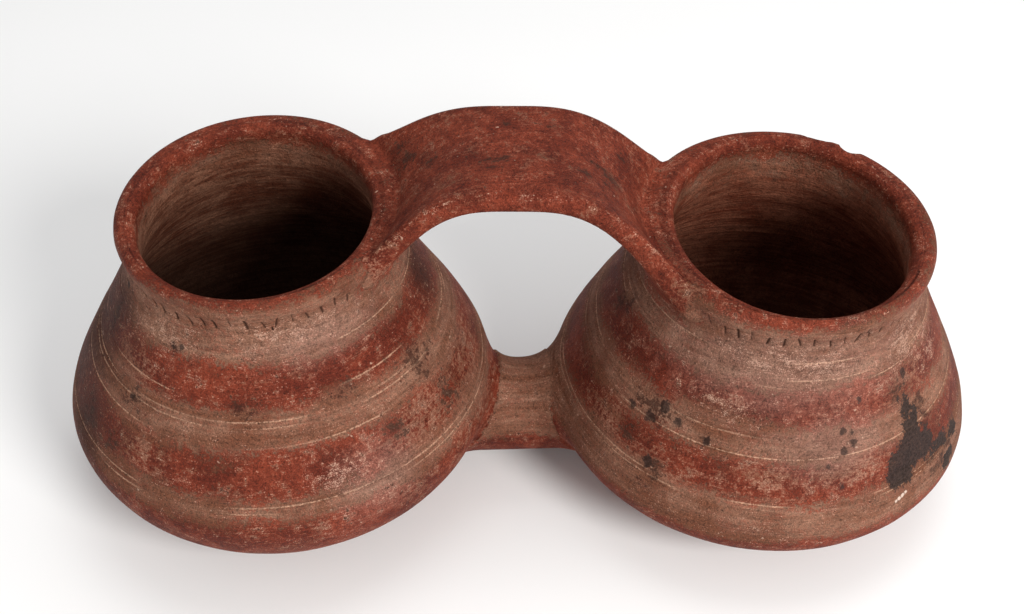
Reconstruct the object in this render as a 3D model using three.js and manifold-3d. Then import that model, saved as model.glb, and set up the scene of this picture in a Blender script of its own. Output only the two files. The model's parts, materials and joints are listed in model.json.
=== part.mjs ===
// Double pottery jar: two open jars of fired clay, joined at the bellies by a short hollow
// tube and at the rims by a broad strap handle. It is one fired piece, so it is one mesh.
// Millimetres, +Z up. X runs from the left jar to the right jar, and +Y points to the back.

import * as THREE from 'three';
import { mergeVertices } from 'three/addons/utils/BufferGeometryUtils.js';
import Module from 'manifold-3d';

const wasm = await Module();
wasm.setup();

// Distance between the upright axes of the two jars
const axisSpacing = 184;

// Wall of the body, and the floor under the hollow
const wall = 7;
const floorThickness = 8;

// Each jar has its own hand-built shape. Radii and heights are measured from its own axis
// and from the ground. The reach, rise and drop values are the lengths of the tangents that
// shape the curves between the foot, the belly and the neck. rimDrop is how far the front of
// the rim lies below its middle, and its back above it.
const leftJar = {
  side: -1,
  height: 129.8,
  rimDrop: 2.3,
  foot: 25.3,
  footReach: 25.2,
  footRise: 3.6,
  belly: 80.3,
  bellyHeight: 46.8,
  bellyDrop: 22.9,
  bellyRise: 15.3,
  neck: 48.6,
  neckHeight: 117,
  neckDrop: 16.5,
  lip: { halfX: 49.4, halfY: 51.5 },
  lean: { x: 0, y: -0.4 },
  mouth: { halfX: 39.8, halfY: 43.5 },
  mouthShift: { x: -0.9, y: -3.1 },
};

const rightJar = {
  side: 1,
  height: 120.2,
  rimDrop: 0.6,
  foot: 25.3,
  footReach: 22.5,
  footRise: 5.5,
  belly: 80.8,
  bellyHeight: 35.9,
  bellyDrop: 18.1,
  bellyRise: 15.9,
  neck: 51.6,
  neckHeight: 106.5,
  neckDrop: 14.8,
  lip: { halfX: 52, halfY: 54.4 },
  lean: { x: -0.1, y: -3.6 },
  mouth: { halfX: 40.8, halfY: 47.6 },
  mouthShift: { x: 1.6, y: -2.2 },
};

// Two shallow chips in the outer edge of the right rim, at angles from +X towards +Y
const rimChips = [
  { angle: 65, halfLength: 8, halfDepth: 3.4, offset: 1.6 },
  { angle: 48, halfLength: 6, halfDepth: 3.2, offset: 1.4 },
];

// Roundings of the lip, and how far above and below it the flare out of the neck reaches
const lipRound = 4.2;
const mouthRound = 3.4;
const lipFlare = 3;

// The rims are oval, lean and tilt. Oval and tilt fade in above this share of the height.
const ovalStart = 0.6;

// The tube between the bellies
const tube = {
  radius: 18.5,
  bore: 10,
  boreHalfLength: 54,
  height: 24.4,
  straightHalfLength: 22,
  endRadius: 12,
  halfLength: 50,
};

// The strap handle. It rises from both lips to its crown, and widens towards them.
const strap = {
  crownX: -4.4,
  crownHeight: 150.9,
  halfWidth: 26.7,
  leftOffset: 2.8,
  rightOffset: -2,
  thickness: 7.4,
  edgeRound: 2.6,
  climb: 2.7,
  sink: 0.5,
  lipOverlap: 1.2,
  lipInset: 3,
  endReach: 24,
  flare: 8,
  flareReach: 54,
};

// Facets. The hollow has fewer than the outside, because it is hardly seen.
const outerSides = 52;
const innerSides = 41;
const tubeSides = 32;
const bodySteps = 9;
const neckSteps = 8;
const hollowBodySteps = 7;
const hollowNeckSteps = 7;
const roundSteps = 3;
const strapSteps = 10;
const strapColumns = 7;
const chipSides = 10;
const chipRings = 6;

// The hollow of a mouth is cut this far above the lip, through the ends of the strap
const mouthClearance = 40;

// How exactly a strap's end is found, and how near two vertices are the same one
const endTolerance = 1e-3;
const vertexTolerance = 1e-4;

function jarX(jar) {
  return jar.side * axisSpacing / 2;
}

function curvePoints(from, tangentFrom, tangentTo, to, steps) {
  const curve = new THREE.CubicBezierCurve(from, tangentFrom, tangentTo, to);
  return curve.getPoints(steps);
}

function point(radius, height) {
  return new THREE.Vector2(radius, height);
}

function quarterRound(centre, radius, fromAngle, steps) {
  const points = [];
  for (let i = 1; i <= steps; i += 1) {
    const angle = fromAngle + (Math.PI / 2) * (i / steps);
    points.push(point(centre.x + radius * Math.cos(angle), centre.y + radius * Math.sin(angle)));
  }
  return points;
}

function meanOf(oval) {
  return (oval.halfX + oval.halfY) / 2;
}

// Outline of the solid jar, from the foot's centre over the belly to the middle of the lip
function outerProfile(jar) {
  const lip = meanOf(jar.lip);
  const lipUnder = jar.height - lipRound;
  const lower = curvePoints(
    point(jar.foot, 0),
    point(jar.foot + jar.footReach, jar.footRise),
    point(jar.belly, jar.bellyHeight - jar.bellyDrop),
    point(jar.belly, jar.bellyHeight),
    bodySteps,
  );
  const upper = curvePoints(
    point(jar.belly, jar.bellyHeight),
    point(jar.belly, jar.bellyHeight + jar.bellyRise),
    point(jar.neck, jar.neckHeight - jar.neckDrop),
    point(jar.neck, jar.neckHeight),
    neckSteps,
  );
  const flare = curvePoints(
    point(jar.neck, jar.neckHeight),
    point(jar.neck, jar.neckHeight + lipFlare),
    point(lip, lipUnder - lipFlare),
    point(lip, lipUnder),
    roundSteps,
  );
  const edge = quarterRound(point(lip - lipRound, lipUnder), lipRound, 0, roundSteps);
  return [
    point(0, 0),
    ...lower,
    ...upper.slice(1),
    ...flare.slice(1),
    ...edge,
    point(0, jar.height),
  ];
}

// Outline of the hollow, from the inside of the floor to above the mouth
function innerProfile(jar) {
  const mouth = meanOf(jar.mouth);
  const lower = curvePoints(
    point(jar.foot, floorThickness),
    point(jar.foot + jar.footReach - wall / 2, floorThickness + jar.footRise),
    point(jar.belly - wall, jar.bellyHeight - jar.bellyDrop + wall / 2),
    point(jar.belly - wall, jar.bellyHeight),
    hollowBodySteps,
  );
  const upper = curvePoints(
    point(jar.belly - wall, jar.bellyHeight),
    point(jar.belly - wall, jar.bellyHeight + jar.bellyRise),
    point(mouth, jar.neckHeight - jar.neckDrop),
    point(mouth, jar.neckHeight),
    hollowNeckSteps,
  );
  const edge = [];
  for (let i = 0; i <= roundSteps; i += 1) {
    const angle = (Math.PI / 2) * (i / roundSteps);
    edge.push(point(
      mouth + mouthRound * (1 - Math.cos(angle)),
      jar.height - mouthRound * (1 - Math.sin(angle)),
    ));
  }
  const top = jar.height + mouthClearance;
  return [
    point(0, floorThickness),
    ...lower,
    ...upper.slice(1),
    ...edge,
    point(mouth + mouthRound, top),
    point(0, top),
  ];
}

// Rise of a rim's tilt at a distance behind the rim's middle
function rimTilt(jar, behind) {
  return jar.rimDrop * behind / jar.lip.halfY;
}

// Bends a turned shape to the oval, the lean and the tilt of its rim
function shapeRim(geometry, jar, oval, shift) {
  const position = geometry.getAttribute('position');
  const stretch = Math.sqrt(oval.halfX / oval.halfY);
  for (let i = 0; i < position.count; i += 1) {
    const z = position.getZ(i);
    const share = Math.min(z / jar.height, 1);
    const fade = THREE.MathUtils.clamp((share - ovalStart) / (1 - ovalStart), 0, 1);
    const stretchX = 1 + (stretch - 1) * fade;
    const stretchY = 1 + (1 / stretch - 1) * fade;
    const behind = position.getY(i) * stretchY + shift.y * fade;
    position.setX(i, position.getX(i) * stretchX + jar.lean.x * share + shift.x * fade);
    position.setY(i, behind + jar.lean.y * share);
    position.setZ(i, z + rimTilt(jar, behind) * fade);
  }
}

function turned(profile, sides) {
  const geometry = new THREE.LatheGeometry(profile, sides);
  geometry.rotateX(Math.PI / 2);
  return geometry;
}

function jarBody(jar) {
  const geometry = turned(outerProfile(jar), outerSides);
  shapeRim(geometry, jar, jar.lip, { x: 0, y: 0 });
  geometry.translate(jarX(jar), 0, 0);
  return geometry;
}

function jarHollow(jar) {
  const geometry = turned(innerProfile(jar), innerSides);
  shapeRim(geometry, jar, jar.mouth, jar.mouthShift);
  geometry.translate(jarX(jar), 0, 0);
  return geometry;
}

function alongX(profile) {
  const geometry = new THREE.LatheGeometry(profile, tubeSides);
  geometry.rotateZ(-Math.PI / 2);
  geometry.translate(0, 0, tube.height);
  return geometry;
}

// The tube's ends taper off inside the walls of the jars
function tubeBody() {
  return alongX([
    point(0, -tube.halfLength),
    point(tube.endRadius, -tube.halfLength),
    point(tube.radius, -tube.straightHalfLength),
    point(tube.radius, tube.straightHalfLength),
    point(tube.endRadius, tube.halfLength),
    point(0, tube.halfLength),
  ]);
}

function tubeBore() {
  return alongX([
    point(0, -tube.boreHalfLength),
    point(tube.bore, -tube.boreHalfLength),
    point(tube.bore, tube.boreHalfLength),
    point(0, tube.boreHalfLength),
  ]);
}

// How far a point in plan lies outside the lip of a jar, negative inside it
function outsideLip(jar, x, y) {
  const dx = (x - jarX(jar) - jar.lean.x) / jar.lip.halfX;
  const dy = (y - jar.lean.y) / jar.lip.halfY;
  return (Math.hypot(dx, dy) - 1) * meanOf(jar.lip);
}

// The strap's top leaves the lip level with it and rises to the crown in one curve. Its share
// falls from 1 at the lip to 0 at the crown. Within the lip it is over 1, so the strap's ends
// dive into the wall and leave the lip's own rounding free.
function strapClimb(jar, x, y) {
  const reach = Math.abs(strap.crownX - jarX(jar)) - jar.lip.halfX + strap.lipOverlap;
  const run = outsideLip(jar, x, y) + strap.lipOverlap;
  const share = Math.max(1 - run / reach, 0);
  const start = jar.height + rimTilt(jar, y - jar.lean.y) - strap.sink;
  const rise = strap.crownHeight - start;
  return {
    top: start + rise * (1 - share ** strap.climb),
    slope: (rise / reach) * strap.climb * share ** (strap.climb - 1),
  };
}

function strapHalfWidth(x) {
  const run = Math.abs(x - strap.crownX) / strap.flareReach;
  return strap.halfWidth + strap.flare * run ** 3;
}

// The middle of the strap runs straight across, a little off the centres of both rims
function strapMiddle(x) {
  const share = (x + axisSpacing / 2) / axisSpacing;
  const left = leftJar.lean.y + strap.leftOffset;
  const right = rightJar.lean.y + strap.rightOffset;
  return THREE.MathUtils.lerp(left, right, share);
}

// Across the strap, a column runs from -1 at the front edge to 1 at the back edge
function strapY(x, column) {
  return strapMiddle(x) + column * (strapHalfWidth(x) - strap.edgeRound);
}

// Where a column of the strap ends, inside the wall of the lip
function strapEnd(jar, column) {
  let inside = jarX(jar) - jar.side * strap.endReach;
  let outside = strap.crownX;
  if (outsideLip(jar, inside, strapY(inside, column)) > -strap.lipInset) {
    return inside;
  }
  while (Math.abs(outside - inside) > endTolerance) {
    const x = (inside + outside) / 2;
    if (outsideLip(jar, x, strapY(x, column)) < -strap.lipInset) {
      inside = x;
    } else {
      outside = x;
    }
  }
  return inside;
}

// Top of the strap at one column, and its thickness measured upright
function strapSpot(jar, share, column) {
  const x = THREE.MathUtils.lerp(strap.crownX, strapEnd(jar, column), share);
  const y = strapY(x, column);
  const { top, slope } = strapClimb(jar, x, y);
  return { x, y, top, depth: strap.thickness * Math.sqrt(1 + slope ** 2) };
}

function strapRing(jar, share) {
  const columns = [];
  for (let i = 0; i < strapColumns; i += 1) {
    columns.push(strapSpot(jar, share, 2 * i / (strapColumns - 1) - 1));
  }
  const corner = strap.edgeRound * (1 - Math.SQRT1_2);
  const edge = (spot, direction) => [
    [Math.SQRT1_2, corner],
    [1, strap.edgeRound],
    [1, spot.depth - strap.edgeRound],
    [Math.SQRT1_2, spot.depth - corner],
  ].map(([out, down]) => (
    new THREE.Vector3(spot.x, spot.y + direction * out * strap.edgeRound, spot.top - down)
  ));
  const topRow = columns.map((s) => new THREE.Vector3(s.x, s.y, s.top));
  const underRow = columns.map((s) => new THREE.Vector3(s.x, s.y, s.top - s.depth));
  return [
    ...topRow,
    ...edge(columns.at(-1), 1),
    ...underRow.reverse(),
    ...edge(columns[0], -1).reverse(),
  ];
}

// The rings lie closer together near the lips, where the strap bends most
function strapGeometry() {
  const rings = [];
  for (let i = -strapSteps; i <= strapSteps; i += 1) {
    const share = Math.sin((Math.PI / 2) * Math.abs(i) / strapSteps);
    rings.push(strapRing(i < 0 ? leftJar : rightJar, share));
  }
  return closedLoft(rings);
}

// Joins rings of equal count into a closed body, with flat fans over both ends
function closedLoft(rings) {
  const count = rings[0].length;
  const vertices = rings.flat().flatMap((v) => [v.x, v.y, v.z]);
  const indices = [];
  for (let i = 0; i + 1 < rings.length; i += 1) {
    for (let j = 0; j < count; j += 1) {
      const next = (j + 1) % count;
      const a = i * count + j;
      const b = i * count + next;
      indices.push(a, a + count, b, b, a + count, b + count);
    }
  }
  for (const [ring, flip] of [[0, true], [rings.length - 1, false]]) {
    const centre = new THREE.Vector3();
    rings[ring].forEach((v) => centre.add(v));
    centre.divideScalar(count);
    const hub = vertices.length / 3;
    vertices.push(centre.x, centre.y, centre.z);
    for (let j = 0; j < count; j += 1) {
      const a = ring * count + j;
      const b = ring * count + (j + 1) % count;
      indices.push(...(flip ? [hub, a, b] : [hub, b, a]));
    }
  }
  const geometry = new THREE.BufferGeometry();
  geometry.setAttribute('position', new THREE.Float32BufferAttribute(vertices, 3));
  geometry.setIndex(indices);
  return geometry;
}

// A chip is a flat scoop out of the lip's outer edge, long in the direction of the rim
function rimChip(jar, chip) {
  const geometry = new THREE.SphereGeometry(1, chipSides, chipRings);
  const angle = THREE.MathUtils.degToRad(chip.angle);
  const edge = (chip.offset - lipRound * (1 - Math.SQRT1_2)) / Math.SQRT2;
  const behind = (jar.lip.halfY + edge) * Math.sin(angle);
  geometry.scale(chip.halfDepth, chip.halfLength, chip.halfDepth);
  geometry.rotateZ(angle);
  geometry.translate(
    jarX(jar) + jar.lean.x + (jar.lip.halfX + edge) * Math.cos(angle),
    jar.lean.y + behind,
    jar.height + rimTilt(jar, behind) + edge,
  );
  return geometry;
}

function toSolid(geometry) {
  geometry.deleteAttribute('normal');
  geometry.deleteAttribute('uv');
  const merged = mergeVertices(geometry, vertexTolerance);
  const vertProperties = new Float32Array(merged.getAttribute('position').array);
  const triVerts = new Uint32Array(merged.getIndex().array);
  return new wasm.Manifold(new wasm.Mesh({ numProp: 3, vertProperties, triVerts }));
}

function toGeometry(solid) {
  const mesh = solid.getMesh();
  const geometry = new THREE.BufferGeometry();
  geometry.setAttribute('position', new THREE.BufferAttribute(mesh.vertProperties, 3));
  geometry.setIndex(new THREE.BufferAttribute(mesh.triVerts, 1));
  geometry.computeVertexNormals();
  return geometry;
}

function jarSolid() {
  const shell = [
    toSolid(jarBody(leftJar)),
    toSolid(jarBody(rightJar)),
    toSolid(tubeBody()),
    toSolid(strapGeometry()),
  ].reduce((joined, piece) => joined.add(piece));
  return [
    toSolid(jarHollow(leftJar)),
    toSolid(jarHollow(rightJar)),
    toSolid(tubeBore()),
    ...rimChips.map((chip) => toSolid(rimChip(rightJar, chip))),
  ].reduce((left, cut) => left.subtract(cut), shell);
}

const firedClay = new THREE.MeshStandardMaterial({ color: 0x8a4a38, roughness: 0.85, metalness: 0 });
const doubleJar = new THREE.Mesh(toGeometry(jarSolid()), firedClay);
doubleJar.name = 'double_jar';

// The origin is on the ground, under the middle of the object
doubleJar.geometry.computeBoundingBox();
const middle = doubleJar.geometry.boundingBox.getCenter(new THREE.Vector3());
doubleJar.position.set(-middle.x, -middle.y, -doubleJar.geometry.boundingBox.min.z);

const group = new THREE.Group();
group.add(doubleJar);

export default group;
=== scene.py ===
import json
import math

import bpy
import numpy as np
from mathutils import Matrix, Vector, kdtree

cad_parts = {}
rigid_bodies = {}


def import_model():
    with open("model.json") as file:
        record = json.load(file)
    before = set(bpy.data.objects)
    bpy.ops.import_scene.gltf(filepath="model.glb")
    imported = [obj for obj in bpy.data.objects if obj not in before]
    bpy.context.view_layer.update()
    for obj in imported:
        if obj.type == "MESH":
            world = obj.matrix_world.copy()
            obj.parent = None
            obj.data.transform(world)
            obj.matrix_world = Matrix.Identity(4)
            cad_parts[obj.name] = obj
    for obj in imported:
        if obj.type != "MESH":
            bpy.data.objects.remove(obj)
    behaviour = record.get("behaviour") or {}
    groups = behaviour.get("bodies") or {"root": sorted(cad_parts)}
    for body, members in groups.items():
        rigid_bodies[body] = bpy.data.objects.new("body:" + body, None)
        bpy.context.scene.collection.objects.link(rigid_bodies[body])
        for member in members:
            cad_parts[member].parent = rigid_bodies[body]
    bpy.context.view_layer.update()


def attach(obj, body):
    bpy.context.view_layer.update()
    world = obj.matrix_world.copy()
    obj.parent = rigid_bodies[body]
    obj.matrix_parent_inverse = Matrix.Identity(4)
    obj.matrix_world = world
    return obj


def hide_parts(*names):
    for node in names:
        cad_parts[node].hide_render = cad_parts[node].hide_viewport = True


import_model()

# Lengths are in millimetres until the mesh is placed. X runs from the left jar to the right
# jar, with its zero half way between their axes, and Y points to the back.
MM = 0.001
SPACING = 184.0
WALL = 7.0
FLOOR = 8.0

# From here to the middle of the object's box, which is the frame's origin
MIDDLE = (0.235, -0.86, 0.0)

# red lists the heights between which the body is painted red, grooves the incised lines, and
# side_red how much further down the lip's red reaches on the side away from the strap
LEFT = dict(
    side=-1, height=129.8, rim_drop=2.3, foot=25.3, foot_reach=25.2, foot_rise=3.6,
    belly=80.3, belly_height=46.8, belly_drop=22.9, belly_rise=15.3,
    neck=48.6, neck_height=117.0, neck_drop=16.5,
    lip=(49.4, 51.5), lean=(0.0, -0.4), mouth=(39.8, 43.5), mouth_shift=(-0.9, -3.1),
    nicks=60, nick_height=118.3, side_red=4.2, seed=3,
    grooves=(55.4, 57.6, 76.5, 82.8, 84.8, 90.9, 104.8),
    red=((-50.0, 52.5), (59.6, 75.5), (87.6, 102.6)),
)
RIGHT = dict(
    side=1, height=120.2, rim_drop=0.6, foot=25.3, foot_reach=22.5, foot_rise=5.5,
    belly=80.8, belly_height=35.9, belly_drop=18.1, belly_rise=15.9,
    neck=51.6, neck_height=106.5, neck_drop=14.8,
    lip=(52.0, 54.4), lean=(-0.1, -3.6), mouth=(40.8, 47.6), mouth_shift=(1.6, -2.2),
    nicks=64, nick_height=109.8, side_red=0.0, seed=8,
    grooves=(50.1, 51.8, 68.0, 74.5, 91.8, 94.6, 100.9),
    red=((-50.0, 37.4), (53.2, 67.0), (77.4, 91.8)),
)
LIP_ROUND = 4.2
MOUTH_ROUND = 3.4
LIP_FLARE = 3.0
LIP_FLAT = 0.4
OVAL_START = 0.6

TUBE = dict(radius=18.5, bore=10.0, bore_half=62.0, height=24.4, depth=3.6)
STRAP = dict(
    crown_x=-4.4, crown_height=150.9, half_width=26.7, offset=(2.8, -2.0), thickness=7.4, edge=2.6,
    climb=2.7, sink=0.12, overlap=1.2, inset=4.8, end_reach=24.0, flare=8.0, flare_reach=54.0,
)

# How far out the strap's ends begin and end to thin, and the share of the thickness they lose
STRAP_TAPER = (54.0, 67.0, 0.8)

# Chips in the right rim: angle, half length along the rim, and depth
CHIPS = ((65.0, 6.4, 1.0), (50.0, 4.8, 1.9))

# Widths of the soft fillets where the strap and the tube were luted on
STRAP_FILLET = 9.0
TUBE_FILLET = 13.0

# Depths in the clay between which the pull of a fillet sets in
FILLET_START = (-5.5, -2.5)

# Mesh steps along the profile
FOOT_STEP = 5.0
UNDER_STEP = 3.2
BODY_STEP = 1.7
NICK_STEP = 0.6
LIP_STEP = 0.9
INSIDE_STEP = 1.8
DEEP_STEP = 4.0
NICK_COLUMNS = (-1.25, -0.45, 0.0, 0.45, 1.25, 2.45)
NICK_HALF = 2.5
# Degrees to each side of the strap without nicks
NICK_GAP = 44.0
NICK_DEPTH = 0.85
NICK_WIDTH = 0.42
GROOVE_ROWS = (-0.95, -0.38, 0.0, 0.38, 0.95)
GROOVE_DEPTH = 0.34
GROOVE_WIDTH = 0.36

# Unevenness of hand-made walls: shift of a row, lumps, throwing marks, and wiping inside
STRAY = 0.9
LUMPS = 0.45
RIPPLE = 0.10
INSIDE_LUMPS = 0.4
WIPING = 0.22
STRAP_LUMPS = 0.3

# A distance that counts as well clear of a border
FAR = 9.0

# How far down the red of the lip reaches
LIP_RED = 3.2

# The camera: rise, turn and roll in degrees, distance, aim before centring, and focal length
CAMERA = dict(angles=(42.72, -2.62, 0.46), distance=467.5, aim=(-4.40, 0.0, 76.95), lens=43.95)

# What a vertex belongs to
OUTSIDE, HOLLOW, HANDLE, LINK, BORE = range(5)

# Marks on the outside of the jars: side, angle in degrees, height, half length around, half
# height. Soot has a crisp ragged edge, and the others fade out.
SOOT = (
    (1, -53, 76, 2.8, 6), (1, -52, 68, 5, 6), (1, -54, 61, 8, 7), (1, -59, 56, 6.5, 7),
    (1, -48, 59, 6, 5.5), (1, -41, 54, 5, 3.6), (1, -32, 51, 3.6, 4.4), (1, -37, 43, 5, 3.8),
)
# Thin soot that lets the clay through
SMOKE = (
    (1, -42, 51, 13, 9), (1, -35, 48, 10, 9), (1, -46, 66, 7, 7), (1, -47, 75, 5, 5), (1, -55, 83, 7, 4),
    (1, -135, 72, 10, 6), (1, -131, 52, 7, 6), (1, -120, 71, 4, 3), (1, -142, 60, 6, 6),
    (1, -172, 90, 7, 6), (-1, -159, 98, 3.5, 7), (-1, -120, 104, 4, 2.5), (-1, -94, 89.5, 6, 4),
    (-1, -134, 82, 8, 5), (-1, -150, 65, 8, 8), (-1, -137, 65, 6, 5), (-1, -60, 90, 5, 5),
    (-1, -32, 84, 9, 8), (-1, -28, 66, 8, 7), (-1, -50, 70, 6, 5), (1, 150, 88, 10, 9),
    (1, 96, 58, 9, 6), (-1, 70, 96, 8, 6), (-1, 118, 52, 9, 7),
)
# Slip that is worn down to the clay
WORN = (
    (-1, -18, 66, 26, 24), (-1, -42, 62, 18, 15), (-1, -60, 84, 12, 7), (-1, -128, 69, 14, 8),
    (-1, -140, 90, 12, 10), (1, -150, 58, 14, 12), (1, -132, 52, 16, 8), (1, -118, 79, 14, 8),
    (1, -100, 60, 14, 6), (1, -52, 84, 14, 7), (1, -75, 63, 14, 5), (1, 20, 60, 22, 18),
    (1, 110, 62, 26, 14), (-1, 130, 60, 26, 20), (-1, 60, 74, 18, 14), (1, -150, 114, 13, 6),
)
# A pale bloom over slip and clay alike
BLOOM = (
    (1, -121, 83.0, 8, 3), (1, -110, 81, 7, 3.5), (1, -96, 100, 22, 6), (1, -45, 97, 12, 9),
    (1, -35, 88, 9, 8), (-1, -68, 64, 10, 5), (-1, -124, 108, 12, 6), (-1, -75, 113, 16, 5),
    (1, 60, 84, 14, 8), (-1, 160, 88, 14, 8),
)
# A thin even veil that makes the slip and the clay paler, and painted light that lifts the shaded base at
# the front of the left jar
VEIL_AND_LIGHT = (
    (1, -96, 96, 50, 16), (1, -80, 72, 24, 12), (-1, -58, 58, 18, 14), (-1, -84, 22, 44, 9),
    (-1, -62, 108, 22, 8), (1, 84, 86, 30, 18),
)
# Brown and smoky fire clouds, and painted shade that darkens the flanks facing left, away from the key
# light
CLOUD_AND_SHADE = (
    (-1, -168, 84, 30, 40), (-1, -152, 60, 20, 26), (-1, -158, 104, 16, 12), (1, 178, 80, 26, 30),
    (1, -160, 62, 18, 20), (1, -146, 44, 16, 14), (1, -158, 90, 14, 14), (1, -20, 52, 10, 10),
    (1, 130, 96, 16, 10), (-1, 100, 92, 20, 16), (-1, -2, 98, 14, 12),
)
# Strength of the fire clouds and the painted shade on the left and the right jar
CLOUD_AND_SHADE_SHARE = (1.15, 0.35)

# How fast painted shade, with some soot, darkens the hollows with depth in the left and the right jar
HOLLOW_SHADE_RATE = (1.1, 0.8)

# Dark specks: side, angle in degrees, height, radius
SPECKS = (
    (1, -51.1, 87.5, 1.9), (1, -71, 85.4, 1.1), (1, -74.6, 75.1, 1.0), (1, -77.7, 76.2, 1.2),
    (1, -74.2, 71.7, 1.4), (1, -77.2, 69.3, 1.5), (1, -82.2, 65, 1.0), (1, -78.5, 57.4, 1.1),
    (1, -144, 68.4, 1.6), (1, -137.1, 68.6, 2.1), (1, -133.6, 74.2, 2.3), (1, -128.1, 71.8, 1.8),
    (1, -118.4, 69.2, 1.5), (1, -132.3, 54.4, 2.1), (-1, -117.5, 105.6, 1.3), (-1, -121.1, 104.8, 0.9),
    (-1, -134, 82.2, 1.3), (-1, -154.5, 112.0, 1.6),
)
# A pale scratch, made of specks in a row
SCRATCH = (
    (1, -61.6, 44.6, 0.6), (1, -60.5, 45.1, 0.8), (1, -59.3, 45.7, 0.8), (1, -58.2, 46.4, 0.6),
)
# Smudges on the strap: x, y, half length, half width
SMUDGES = (
    (-44.0, 20.5, 4.0, 3.0), (-40.5, 13.0, 4.2, 3.4), (-31.8, 2.2, 2.2, 2.8), (-18.3, -4.2, 3.0, 2.0),
    (-13.0, -7.2, 3.8, 1.7), (-8.0, -7.2, 2.8, 1.9), (-13.0, -12.5, 6.0, 2.0), (24.6, -1.2, 4.2, 2.2),
    (28.4, -3.4, 3.8, 3.4), (19.5, -9.8, 3.2, 2.4), (27.1, -9.2, 2.4, 1.8), (34.5, 14.0, 2.3, 2.3),
    (8.0, 12.0, 1.9, 1.4), (-6.0, 12.5, 3.0, 2.0),
)


def smoothstep(low, high, value):
    share = np.clip((value - low) / (high - low), 0.0, 1.0)
    return share * share * (3.0 - 2.0 * share)


def waves(seed, count, around, upward, power=1.0):
    """A smooth random field of angle and height, within about -1 to 1."""
    rng = np.random.default_rng(seed)
    turns = rng.integers(0, around + 1, count)
    rates = rng.uniform(-upward, upward, count)
    phases = rng.uniform(0, 2 * math.pi, count)
    sizes = 1.0 / (1.0 + turns) ** power
    sizes = sizes / math.sqrt((sizes ** 2).sum() / 2) / 2.2

    def field(angle, height):
        total = np.zeros(np.broadcast(angle, height).shape)
        for turn, rate, phase, size in zip(turns, rates, phases, sizes):
            total += size * np.cos(turn * angle + rate * height + phase)
        return total
    return field


def bezier(start, start_hand, end_hand, end, steps=90):
    t = np.linspace(0, 1, steps + 1)[:, None]
    points = [np.array(p, float) for p in (start, start_hand, end_hand, end)]
    weights = ((1 - t) ** 3, 3 * t * (1 - t) ** 2, 3 * t * t * (1 - t), t ** 3)
    return sum(w * p for w, p in zip(weights, points))


def jar_x(jar):
    return jar["side"] * SPACING / 2


def lip_radius(jar):
    return sum(jar["lip"]) / 2


def mouth_radius(jar):
    return sum(jar["mouth"]) / 2


def outer_outline(jar):
    """Radius and height from the foot's centre to the outer edge of the lip's top."""
    lip, under = lip_radius(jar), jar["height"] - LIP_ROUND
    belly, middle = jar["belly"], jar["belly_height"]
    turn = np.linspace(0, math.pi / 2, 24)[1:]
    edge = np.stack([lip - LIP_ROUND * (1 - np.cos(turn)), under + LIP_ROUND * np.sin(turn)], 1)
    return np.vstack([
        [(0.0, 0.0)],
        bezier((jar["foot"], 0), (jar["foot"] + jar["foot_reach"], jar["foot_rise"]),
               (belly, middle - jar["belly_drop"]), (belly, middle)),
        bezier((belly, middle), (belly, middle + jar["belly_rise"]),
               (jar["neck"], jar["neck_height"] - jar["neck_drop"]),
               (jar["neck"], jar["neck_height"]))[1:],
        bezier((jar["neck"], jar["neck_height"]), (jar["neck"], jar["neck_height"] + LIP_FLARE),
               (lip, under - LIP_FLARE), (lip, under), 24)[1:],
        edge,
    ])


def inner_outline(jar):
    """Radius and height from the top of the lip down the hollow to the floor's centre."""
    mouth, belly, middle = mouth_radius(jar), jar["belly"] - WALL, jar["belly_height"]
    turn = np.linspace(math.pi / 2, 0, 24)
    edge = np.stack([mouth + MOUTH_ROUND * (1 - np.cos(turn)),
                     jar["height"] - MOUTH_ROUND * (1 - np.sin(turn))], 1)
    return np.vstack([
        edge,
        bezier((mouth, jar["neck_height"]), (mouth, jar["neck_height"] - jar["neck_drop"]),
               (belly, middle + jar["belly_rise"]), (belly, middle)),
        bezier((belly, middle), (belly, middle - jar["belly_drop"] + WALL / 2),
               (jar["foot"] + jar["foot_reach"] - WALL / 2, FLOOR + jar["foot_rise"]),
               (jar["foot"], FLOOR))[1:],
        [(0.0, FLOOR)],
    ])


class Outline:
    """A profile that is read by its length from the start."""

    def __init__(self, points):
        self.points = points
        steps = np.hypot(*np.diff(points, axis=0).T)
        self.length = np.concatenate([[0], np.cumsum(steps)])
        self.total = self.length[-1]

    def at(self, place):
        return tuple(np.interp(place, self.length, self.points[:, i]) for i in (0, 1))

    def outward(self, place, reach=0.5):
        r0, z0 = self.at(np.clip(place - reach, 0, self.total))
        r1, z1 = self.at(np.clip(place + reach, 0, self.total))
        size = np.hypot(r1 - r0, z1 - z0)
        return (z1 - z0) / size, -(r1 - r0) / size

    def place_of(self, height):
        """Length at a height, on a profile whose height only grows."""
        rising = self.points[:, 1] + np.arange(len(self.points)) * 1e-9
        return np.interp(height, rising, self.length)


def rim_tilt(jar, behind):
    """Rise of a rim's tilt at a distance behind the rim's middle."""
    return jar["rim_drop"] * behind / jar["lip"][1]


def rim_shares(jar, height):
    """Shares of the jar's lean and of the rim's oval, shift and tilt at a height."""
    share = np.clip(height / jar["height"], 0, 1)
    return share, np.clip((share - OVAL_START) / (1 - OVAL_START), 0, 1)


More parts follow.
